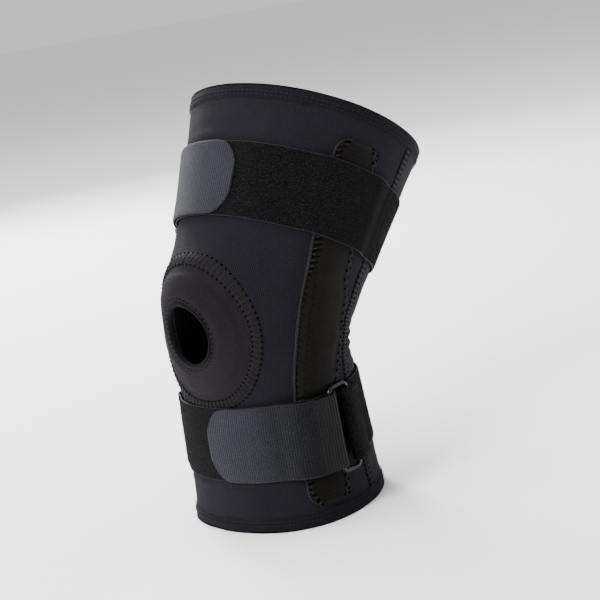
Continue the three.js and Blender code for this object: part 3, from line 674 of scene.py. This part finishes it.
def make_back_seams():
    for label, side in (("lateral", 1), ("medial", -1)):
        low, high = BOTTOM + HEM - 1, TOP - HEM + 1

        def place(share, distance, side=side):
            v = low + (high - low) * share
            return v, side * (BACK_SEAM + turn(v, distance))

        seam_tape(f"{label}_back_seam", place, 130, 2.6, 0.55, HEM_KNIT)
        flatlock(f"{label}_back_seam", place, 72, 2.5, 0.5)


# ------------------------------------------------------------------ kneecap

def kneecap_place(reach, spoke, extra=0.0):
    """Point from the opening's edge (0) to the panel's edge (1); extra is in millimetres."""
    mix = {key: OPENING[key] + (PANEL[key] - OPENING[key]) * reach for key in PANEL}
    v = mix["v"] + (mix["along"] + extra) * np.cos(spoke)
    return v, (mix["round"] + turn(v, extra)) * np.sin(spoke)


def make_kneecap():
    spokes = np.linspace(0, 2 * math.pi, 145)
    reach = np.linspace(0.02, 1.0, 34)
    r, s = np.meshgrid(reach, spokes, indexing="ij")
    v, phi = kneecap_place(r, s)
    low, high = PAD_SPAN
    padded = smooth((r - low) / 0.12) * smooth((high + 0.08 - r) / 0.12)
    swell = 0.9 * padded + 0.25 * ripple(v, phi * 1.1, 24, SEED + 5) * smooth((1 - r) * 4)
    over = skin(v, phi, swell)
    panel = cloth(
        "patella_panel_cloth", over, skin(v, phi, -NEOPRENE + 0 * v),
        cloth_uv(v, phi), PANEL_KNIT, loop=True)
    bend(tidy_normals(panel), "patella_panel")

    make_kneecap_rim(spokes)
    make_kneecap_pad(spokes)

    def seam(share, distance):
        return kneecap_place(1.0, share * 2 * math.pi, distance)

    seam_tape("patella_seam", seam, 160, 3.0, 0.75, PANEL_KNIT)
    flatlock("patella_seam", seam, 82, 3.1, 0.65)


def make_kneecap_rim(spokes):
    """Turned stretch binding round the opening: a soft roll over the cut edge."""
    around = np.linspace(0, 2 * math.pi, 17)
    a, s = np.meshgrid(around, spokes, indexing="ij")
    half_thick, half_wide = NEOPRENE / 2 + 0.6, 1.25
    fluted = 1 + 0.05 * np.sin(s * 60)
    extra = half_wide * (1 + np.cos(a) * fluted)
    height = -NEOPRENE / 2 + half_thick * np.sin(a) * fluted
    v, phi = kneecap_place(0.0, s, extra)
    points = skin(v, phi, height)
    uv = np.stack([s * 20, a * 2.2], -1)
    rim = cloth("patella_rim", points, points * 1.0, uv, BINDING_KNIT, loop=True)
    count = len(around) * (len(spokes) - 1)
    keep_outer_half(rim, count)
    bend(tidy_normals(rim), "patella_binding")
    ring = np.arange(44) / 44 * 2 * math.pi
    first, last = kneecap_place(0.0, ring, 3.2), kneecap_place(0.0, ring + 0.07, 3.2)
    bend(stitches("patella_rim_stitches", first, last, 0.1, NEEDLE_SHADE_AND_THREAD, radius=0.3, lift=0.2))


def keep_outer_half(obj, count):
    """A tube made as a doubled sheet keeps its outer sheet only."""
    mesh = bmesh.new()
    mesh.from_mesh(obj.data)
    mesh.verts.ensure_lookup_table()
    bmesh.ops.delete(mesh, geom=mesh.verts[count:], context="VERTS")
    bmesh.ops.remove_doubles(mesh, verts=mesh.verts, dist=1e-6)
    mesh.to_mesh(obj.data)
    mesh.free()


def make_kneecap_pad(spokes):
    """Foam ring inside the sleeve round the kneecap, with a rounded edge."""
    low, high = PAD_SPAN
    share = np.linspace(0, 1, 15)
    h, s = np.meshgrid(share, spokes, indexing="ij")
    v, phi = kneecap_place(low + (high - low) * h, s)
    round_edge = np.sqrt(np.clip(1 - (2 * h - 1) ** 6, 0, 1))
    top = -NEOPRENE - 0.05 + 0 * h
    pad = cloth(
        "patella_pad_cover", skin(v, phi, top), skin(v, phi, top - PAD_THICKNESS * round_edge - 0.1),
        cloth_uv(v, phi), FOAM, loop=True)
    bend(tidy_normals(pad), "patella_pad")


# ------------------------------------------------------------------ hinge pockets

def pocket_profile(v, distance):
    """Height of the pocket cloth: drawn down between the seam and the stays."""
    reach = np.abs(distance) / POCKET_HALF
    hinge = smooth((30 - np.abs(v)) / 14)
    crown = 1 - 0.16 * reach ** 2
    flank = smooth((1.0 - reach) / (0.2 - 0.03 * hinge))
    stay = 0.35 * smooth((8.5 - np.abs(distance)) / 2.5)
    plate = 0.5 * smooth((12.5 - np.hypot(distance, v)) / 2.0)
    sunk = 0.35 * ripple(v, distance, 34, SEED + 9)
    strapped = sum(smooth((STRAP_HALF + 7 - np.abs(v - s["middle"])) / 6) for s in STRAPS)
    raised = (stay + plate + sunk * 0.6) * (1 - strapped) - 0.3 * strapped
    return 0.25 + flank * (pocket_height(v) * crown + raised * smooth((POCKET_TOP - v) / 8))


def pocket_narrow(v):
    """Share of the pocket's width left near its rounded ends."""
    ends = np.minimum(v - POCKET_BOTTOM, POCKET_TOP - v)
    return np.sqrt(np.clip(1 - np.clip(1 - ends / 12, 0, 1) ** 2 * 0.8, 0, 1))


def make_pocket(label, side):
    rows = evenly(POCKET_BOTTOM, POCKET_TOP, 2.0)
    columns = np.concatenate([
        np.linspace(-POCKET_REACH, -13, 8)[:-1], np.linspace(-13, 13, 20),
        np.linspace(13, POCKET_REACH, 8)[1:]])
    v, distance = np.meshgrid(rows, columns, indexing="ij")
    distance = distance * pocket_narrow(v)
    phi = side * (pocket_angle(v) + turn(v, distance))
    over = skin(v, phi, pocket_profile(v, distance))
    uv = np.stack([distance, v], -1)
    piece = cloth(f"{label}_pocket_cover", over, skin(v, phi, 0 * v - 0.6), uv, POCKET_TWILL)
    bend(tidy_normals(piece), *(f"{label}_pocket_{zone}" for zone in ("thigh", "knee", "calf")))
    lining_phi = side * (pocket_angle(v) + turn(v, distance * 0.97))
    lining = cloth(
        f"{label}_pocket_lining", skin(v, lining_phi, 0 * v - NEOPRENE + 0.1),
        skin(v, lining_phi, 0 * v - NEOPRENE - 0.5), uv, BINDING_KNIT)
    bend(tidy_normals(lining))
    make_pocket_seams(label, side)


def make_pocket_seams(label, side):
    low, high = POCKET_BOTTOM + 1, POCKET_TOP - 1

    def place(share, distance):
        v = low + (high - low) * share
        return v, side * (pocket_angle(v) + turn(v, distance * pocket_narrow(v)))

    edge = seam_tape(
        f"{label}_pocket_front_edge", lambda s, d: place(s, d - POCKET_REACH), 150, 0.25, 1.5, PIPING)
    count, rear_count = 62, 40
    share, rear = np.arange(count) / count, np.arange(rear_count) / rear_count
    step, rear_step = 1 / count, 1 / rear_count

    def sew(name, first, last, material, radius=0.3, lift=0.45, proud=0.15):
        """Stitches between (share, distance) pairs, on top of the pocket cloth."""
        ends = [place(*pair) for pair in (first, last)]
        narrow = [pocket_narrow(v) for v, _ in ends]
        heights = [pocket_profile(v, pair[1] * n) + proud
                   for (v, _), pair, n in zip(ends, (first, last), narrow)]
        (v0, p0), (v1, p1) = ends
        bend(thread_run(
            f"{label}_pocket_{name}", skin(v0, p0, heights[0]), skin(v1, p1, heights[1]),
            surface_normals((v0 + v1) / 2, (p0 + p1) / 2, 0), material, radius, lift))

    # dark dashes: near-black bits as painted shade in the stitch dents along the front edge
    sew("front_dashes", (share, -16.2), (share + 0.45 * step, -12.7), NEEDLE_SHADE_AND_THREAD, 0.8, 0.3)
    sew("front_threads", (share + 0.5 * step, -16.6), (share + 0.95 * step, -12.5), LIGHT_THREAD, 0.42)
    sew("rear_zig", (rear, 11.2), (rear + 0.5 * rear_step, 14.2), LIGHT_THREAD)
    sew("rear_zag", (rear + 0.5 * rear_step, 14.2), (rear + rear_step, 11.2), LIGHT_THREAD)
    sew("rear_outer_zig", (rear, 17.0), (rear + 0.5 * rear_step, 14.2), LIGHT_THREAD)
    # rear needle holes: near-black bits as painted shade in the holes
    for name, distance, shift in (("in", 11.3, 0.3), ("out", 16.6, 0.3), ("tip", 14.3, 0.75)):
        sew(f"rear_holes_{name}", (rear + shift * rear_step, distance),
            (rear + (shift + 0.22) * rear_step, distance), NEEDLE_SHADE_AND_THREAD, 0.75, 0.25, 0.0)
    across = evenly(-9.5, 8.0, 1.9)
    for end, row_place in (("top", 0.965), ("bottom", 0.022)):
        for row in (0, 1):
            at = np.full_like(across, row_place + row * 0.008)
            sew(f"{end}_tack_{row}", (at, across), (at, across + 1.25), THREAD, 0.24)


# ------------------------------------------------------------------ straps

EDGE_COLUMNS = np.concatenate([
    -1 + 0.06 * (1 - np.cos(np.linspace(0, math.pi / 2, 5))),
    np.linspace(-0.9, 0.9, 25),
    1 - 0.06 * (1 - np.cos(np.linspace(math.pi / 2, 0, 5))),
])


def edge_round(across):
    """Share of the webbing's half thickness left near its two edges."""
    reach = np.clip((np.abs(across) - 0.94) / 0.06, 0, 1)
    return np.sqrt(np.clip(1 - reach ** 2, 0, 1))


def strap_sheet(name, strap, x, center_height, half, material, thickness=WEBBING, fuzz=0.0):
    """Webbing along points at distance x from the ring bar; rows run along the strap."""
    side, middle = strap["side"], strap["middle"]
    across = EDGE_COLUMNS[None, :] * np.ones((len(x), 1))
    half = np.broadcast_to(np.asarray(half, float), (len(x),))[:, None]
    v = middle + across * half
    phi = RING_ANGLE + turn(middle, x)[:, None] * np.ones_like(across)
    lay = strap_lay(middle, phi)
    thick = thickness / 2 * edge_round(across)
    rough = fuzz * ripple(v, x[:, None], 2.3, SEED + 11) if fuzz else 0
    base = lay + np.asarray(center_height)[:, None]
    over = skin(v, side * phi, base + thick + rough)
    under = skin(v, side * phi, base - thick)
    uv = np.stack([x[:, None] * np.ones_like(across), v], -1)
    return tidy_normals(cloth(name, over, under, uv, material))


def strap_path(name, strap, path, material):
    """Webbing that follows (distance, height) pairs round a ring bar."""
    side, middle = strap["side"], strap["middle"]
    path = np.asarray(path)
    ahead = np.gradient(path, axis=0)
    ahead = ahead / np.linalg.norm(ahead, axis=1, keepdims=True)
    left = np.stack([-ahead[:, 1], ahead[:, 0]], -1)
    across = EDGE_COLUMNS[None, :] * np.ones((len(path), 1))
    v = middle + across * STRAP_HALF
    length = np.r_[0, np.cumsum(np.linalg.norm(np.diff(path, axis=0), axis=1))]
    faces = []
    for way in (1, -1):
        offset = left[:, None] * (way * WEBBING / 2 * edge_round(across))[..., None]
        phi = RING_ANGLE + turn(middle, path[:, None, 0] + offset[..., 0])
        lay = strap_lay(middle, phi)
        faces.append(skin(v, side * phi, lay + BAR_HEIGHT + path[:, None, 1] + offset[..., 1]))
    uv = np.stack([length[:, None] * np.ones_like(across), v], -1)
    return tidy_normals(cloth(name, *faces, uv, material))


def arc(start, end, center, way, count=10):
    angle = np.linspace(start, end, count)
    return [(center + way * LEG_OFFSET * math.cos(a), LEG_OFFSET * math.sin(a)) for a in angle]


def fibres(name, strap, low, high, height, count, seed):
    """Loose fibre of the loop pile, standing a little proud of the band."""
    random = np.random.default_rng(seed)
    middle, side = strap["middle"], strap["side"]
    phi = random.uniform(low, high, count)
    v = middle + random.uniform(-0.985, 0.985, count) * STRAP_HALF
    lay = strap_lay(middle, phi)
    root = skin(v, side * phi, lay + height - 0.15)
    lean_v, lean_phi = random.normal(0, 0.75, count), turn(middle, random.normal(0, 0.75, count))
    tall = random.uniform(0.1, 0.75, count)
    tip = skin(v + lean_v, side * (phi + lean_phi), lay + height + tall)
    wide = random.normal(0, 1, (count, 3))
    wide = wide / np.linalg.norm(wide, axis=1, keepdims=True) * FIBRE_HALF_WIDTH
    points = np.stack([root - wide, root + wide, tip], 1).reshape(-1, 3)
    faces = np.arange(count * 3).reshape(-1, 3)
    uv = np.stack([phi * 1.1, v], -1)[:, None] * np.ones((1, 3, 1))
    return mesh_object(name, points, faces, uv.reshape(-1, 2), PILE_FIBRE)


def strap_rows(name, strap, x, height, rows, material, pitch=2.6, length=1.7):
    """Rows of stitches that run along a strap at given shares of its half width."""
    middle, side = strap["middle"], strap["side"]
    starts = evenly(x[0], x[1], pitch)
    for index, share in enumerate(rows):
        v = np.full_like(starts, middle + share * STRAP_HALF)
        phi0 = RING_ANGLE + turn(middle, starts)
        phi1 = RING_ANGLE + turn(middle, starts + length)
        lay = strap_lay(middle, phi0)
        yield stitches(
            f"{name}_{index}", (v, side * phi0), (v, side * phi1), lay + height, material, radius=0.26)


def edge_cords(name, strap, x, height, material, radius=0.34):
    """The woven selvedge: a thin cord along each edge of a strap, or of its tab."""
    middle, side = strap["middle"], strap["side"]
    angle = np.linspace(0, 2 * math.pi, 7)
    for label, way in (("low", -1), ("high", 1)):
        phi = RING_ANGLE + turn(middle, x)[:, None] * np.ones_like(angle)
        level = tab_level(x) if height is None else np.full(x.shape, height)
        lay = strap_lay(middle, phi) + level[:, None]
        v = middle + way * STRAP_HALF + radius * np.cos(angle) * np.ones((len(x), 1))
        points = skin(v, side * phi, lay + radius * np.sin(angle))
        uv = np.stack([x[:, None] + 0 * v, angle * 0.3 + 0 * v], -1)
        piece = cloth(f"{name}_{label}", points, points * 1.0, uv, material)
        keep_outer_half(piece, points.shape[0] * points.shape[1])
        yield tidy_normals(piece)


def to_distance(middle, phi):
    """Distance from the ring bar along the leg for an angle."""
    return np.radians(phi - RING_ANGLE) * depth(middle)


def make_strap_band(strap):
    name, middle = strap["name"], strap["middle"]
    rear_angle = RING_ANGLE + np.degrees(
        2 * RING["half_width"] / (depth(middle) + POCKET_HEIGHT + BAR_HEIGHT))
    leg_end = -FOLD_LEG
    back_start = to_distance(middle, rear_angle) + FOLD_LEG
    spans = {
        "band": (to_distance(middle, -BACK_SEAM), leg_end),
        "back": (back_start, to_distance(middle, 360 - BACK_SEAM)),
    }
    level = BAND_LIFT + WEBBING / 2
    for order, (part, (low, high)) in enumerate(spans.items()):
        x = evenly(low, high, 1.5)
        piece = strap_sheet(
            f"{name}_strap_{part}_pile", strap, x, np.full(len(x), level), STRAP_HALF, PILE, fuzz=0.12)
        bend(piece, f"{name}_strap_{part}")
        angles = RING_ANGLE + turn(middle, np.array([low, high]))
        fuzz = fibres(
            f"{name}_strap_{part}_fibres", strap, angles[0], angles[1],
            BAND_LIFT + WEBBING, FIBRE_COUNT[part], SEED + 20 + order)
        bend(fuzz)
        cords = edge_cords(f"{name}_strap_{part}_edge", strap, x, level + 0.1, THREAD, 0.36)
        for cord_piece in cords:
            bend(cord_piece)
    return rear_angle


def make_fold(strap):
    """The strap's own leg under the ring bar, up to the front of its turn."""
    name, body = strap["name"], strap["body"]
    path = [(x, -LEG_OFFSET) for x in np.linspace(-FOLD_LEG - 0.2, -0.5, 8)]
    path += arc(-math.pi / 2, 0.15, 0, 1, 9)
    piece = strap_path(f"{name}_strap_under_leg", strap, path, ELASTIC)
    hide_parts(f"{name}_strap_fold")
    start, end = path_points(strap, (-FOLD_LEG, -LEG_OFFSET), (0, -LEG_OFFSET))
    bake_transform(piece)
    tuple(start)
    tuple(end)


def path_points(strap, *pairs):
    """Row-frame points in the middle of the strap for (distance, height) pairs."""
    middle, side = strap["middle"], strap["side"]
    for distance, height in pairs:
        phi = RING_ANGLE + turn(middle, distance)
        lay = strap_lay(middle, phi) + BAR_HEIGHT + height
        yield tuple(float(c) for c in skin(float(middle), side * phi, lay))


def make_keeper(strap, rear_angle):
    """Short pile loop that holds the ring's rear bar."""
    name, middle = strap["name"], strap["middle"]
    bar = float(to_distance(middle, rear_angle))
    path = [(bar + x, LEG_OFFSET) for x in np.linspace(KEEPER_LEG + 2, 0.5, 7)]
    path += arc(math.pi / 2, -math.pi / 2, bar, -1, 13)
    path += [(bar + x, -LEG_OFFSET) for x in np.linspace(0.5, FOLD_LEG + 0.2, 8)]
    piece = strap_path(f"{name}_keeper_loop", strap, path, PILE)
    bend(piece, f"{name}_ring_keeper")
    top = BAR_HEIGHT + LEG_OFFSET + WEBBING / 2
    rows = strap_rows(
        f"{name}_keeper_stitches", strap, (bar + 2, bar + KEEPER_LEG), top, (-0.9, 0.9), LIGHT_THREAD)
    for row in rows:
        bend(row)
    across = evenly(-0.9 * STRAP_HALF, 0.9 * STRAP_HALF - 1.8, 2.5)
    phi = RING_ANGLE + turn(middle, np.full_like(across, bar + KEEPER_LEG - 0.5))
    v = middle + across
    side = strap["side"]
    level = strap_lay(middle, phi) + top
    cross = stitches(
        f"{name}_keeper_cross", (v, side * phi), (v + 1.7, side * phi), level, LIGHT_THREAD, radius=0.26)
    bend(cross)


def tab_level(x):
    """Height of the tab's middle above what the strap lies on, from the ring bar forwards."""
    fold_top = BAR_HEIGHT + LEG_OFFSET - WEBBING / 2
    fall = smooth((-x - FOLD_LEG) / TAB_CLIMB)
    return TAB_BASE + (fold_top - TAB_BASE) * (1 - fall) + WEBBING / 2


def make_tab(strap):
    name, middle = strap["name"], strap["middle"]
    end = float(to_distance(middle, strap["tab_end"]))
    start, stop = path_points(strap, (-6, LEG_OFFSET), (-26, LEG_OFFSET))
    path = arc(0.0, math.pi / 2, 0, 1, 8)[:-1] + [(x, LEG_OFFSET) for x in np.linspace(0, -13, 9)]
    turned = strap_path(f"{name}_strap_turn", strap, path, ELASTIC)
    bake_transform(turned)
    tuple(start)
    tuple(stop)

    def half_width(x):
        t = np.clip(1 - (x - end) / TAB_ROUND, 0, 1)
        return STRAP_HALF * np.sqrt(np.clip(1 - TAB_END_FULLNESS * t ** 2.4, 0, 1))

    x = evenly(end, -12.6, 1.0)
    piece = strap_sheet(
        f"{name}_tab_tape", strap, x, tab_level(x), half_width(x), HOOK_TAPE, fuzz=0.05)
    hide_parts(f"{name}_strap_tab")
    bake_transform(piece)
    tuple(start)
    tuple(stop)
    for edge in edge_cords(f"{name}_tab_edge", strap, evenly(end + TAB_ROUND, -13, 1.5), None, THREAD):
        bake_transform(edge)
        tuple(start)
        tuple(stop)


def make_ring(strap, rear_angle):
    """Closed wire ring with rounded corners."""
    middle, side = strap["middle"], strap["side"]

    def bar(phi, v):
        return skin(float(v), side * phi, strap_lay(middle, float(phi)) + BAR_HEIGHT)

    front, rear = bar(RING_ANGLE, middle), bar(rear_angle, middle)
    upward = bar(RING_ANGLE, middle + STRAP_HALF) - bar(RING_ANGLE, middle - STRAP_HALF)
    upward = upward / np.linalg.norm(upward)
    outward = np.cross(rear - front, upward) * side
    outward = outward / np.linalg.norm(outward)
    backward = np.cross(upward, outward) * side
    stops = []
    corner = RING["corner"]
    long, wide = RING["half_length"] - corner, RING["half_width"] - corner
    for x, y, start in ((1, 1, 0), (-1, 1, 90), (-1, -1, 180), (1, -1, 270)):
        for angle in np.radians(np.linspace(start, start + 90, 9)):
            way = np.array([math.cos(angle), math.sin(angle)])
            stops.append((np.array([x * wide, y * long]) + corner * way, way))
    sides = 20
    angle = np.linspace(0, 2 * math.pi, sides, endpoint=False)
    points = []
    for place, way in stops:
        for a in angle:
            flat = place + way * RING["wire"] * math.cos(a)
            lift = outward * RING["wire"] * math.sin(a)
            points.append((front + rear) / 2 + (backward * flat[0] + upward * flat[1] + lift) / 1000)
    count = len(stops)
    faces = [
        (i * sides + k, (i + 1) % count * sides + k,
         (i + 1) % count * sides + (k + 1) % sides, i * sides + (k + 1) % sides)
        for i in range(count) for k in range(sides)]
    ring = mesh_object(f"{strap['name']}_wire_ring", points, faces, None, BLACK_NICKEL)
    tidy_normals(ring)
    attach(ring, f"{strap['name']}_ring")
    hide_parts(f"{strap['name']}_ring")


def make_strap(strap):
    rear_angle = make_strap_band(strap)
    make_fold(strap)
    make_keeper(strap, rear_angle)
    make_tab(strap)
    make_ring(strap, rear_angle)


# ------------------------------------------------------------------ hinge hardware

HARDWARE = {
    "stay": ALUMINIUM, "stay_tip": VINYL, "plate": ZINC, "washer": NYLON,
    "rivet": ZINC, "rivet_a": ZINC, "rivet_b": ZINC,
}


def dress_hardware():
    for name, node in frame["nodes"].items():
        for ending, finish in HARDWARE.items():
            if name.endswith(f"_{ending}"):
                node.data.materials.clear()
                node.data.materials.append(finish)


# ------------------------------------------------------------------ studio

CAMERA = {"azimuth": 47.6, "elevation": 10.8, "roll": 9.84, "distance": 1.075, "lens": 94.7}
AIM = {"right": 0.0319, "up": 0.0213}


def make_camera():
    azimuth, elevation = (math.radians(CAMERA[key]) for key in ("azimuth", "elevation"))
    back = Vector((
        math.sin(azimuth) * math.cos(elevation), -math.cos(azimuth) * math.cos(elevation),
        math.sin(elevation)))
    level = Vector((math.cos(azimuth), math.sin(azimuth), 0))
    above = back.cross(level)
    roll = math.radians(CAMERA["roll"])
    right = level * math.cos(roll) - above * math.sin(roll)
    up = above * math.cos(roll) + level * math.sin(roll)
    target = Vector(KNEE) + right * AIM["right"] + up * AIM["up"]
    data = bpy.data.cameras.new("camera")
    data.lens = CAMERA["lens"]
    camera = bpy.data.objects.new("camera", data)
    basis = Matrix((right, up, back)).transposed().to_4x4()
    camera.matrix_world = Matrix.Translation(target + back * CAMERA["distance"]) @ basis
    bpy.context.scene.collection.objects.link(camera)
    bpy.context.scene.camera = camera


def area_light(name, place, size, watts, color=(1, 1, 1)):
    data = bpy.data.lights.new(name, "AREA")
    data.shape = "RECTANGLE"
    data.size, data.size_y = size
    data.energy = watts
    data.color = color
    light = bpy.data.objects.new(name, data)
    light.location = place
    light.rotation_euler = (Vector(place) - Vector((0, 0, 0.15))).to_track_quat("Z", "Y").to_euler()
    bpy.context.scene.collection.objects.link(light)


def make_studio():
    floor_mesh = bpy.data.meshes.new("floor")
    reach = 60.0
    floor_mesh.from_pydata(
        [(-reach, -reach, 0), (reach, -reach, 0), (reach, reach, 0), (-reach, reach, 0)],
        [], [(0, 1, 2, 3)])
    finish = Finish("pale_floor", (0.9, 0.9, 0.9), 0.9)
    finish.shade(finish.noise(finish.place(), 3.0), 0.99, 1.01)
    floor_mesh.materials.append(finish.material)
    floor = bpy.data.objects.new("floor", floor_mesh)
    floor.location.z = -0.0005
    bpy.context.scene.collection.objects.link(floor)
    world = bpy.data.worlds.new("studio")
    world.use_nodes = True
    world.node_tree.nodes["Background"].inputs["Color"].default_value = (1, 1, 1, 1)
    world.node_tree.nodes["Background"].inputs["Strength"].default_value = 0.78
    bpy.context.scene.world = world
    area_light("key", (0.35, -2.3, 1.3), (0.9, 0.9), 120)
    area_light("overhead", (-0.9, -0.2, 3.2), (3.2, 3.2), 170)
    area_light("left_rim", (-1.7, 0.7, 1.2), (0.5, 1.0), 70)
    area_light("right_rim", (0.9, 2.0, 1.2), (0.5, 0.8), 12)


# ------------------------------------------------------------------ the whole

make_camera()
make_studio()
make_sleeve()
make_back_seams()
hem("hem_top", TOP, -1, "hem_band_top")
hem("hem_bottom", BOTTOM, 1, "hem_band_bottom")
make_kneecap()
make_pocket("lateral", 1)
make_pocket("medial", -1)
for strap in STRAPS:
    make_strap(strap)
dress_hardware()
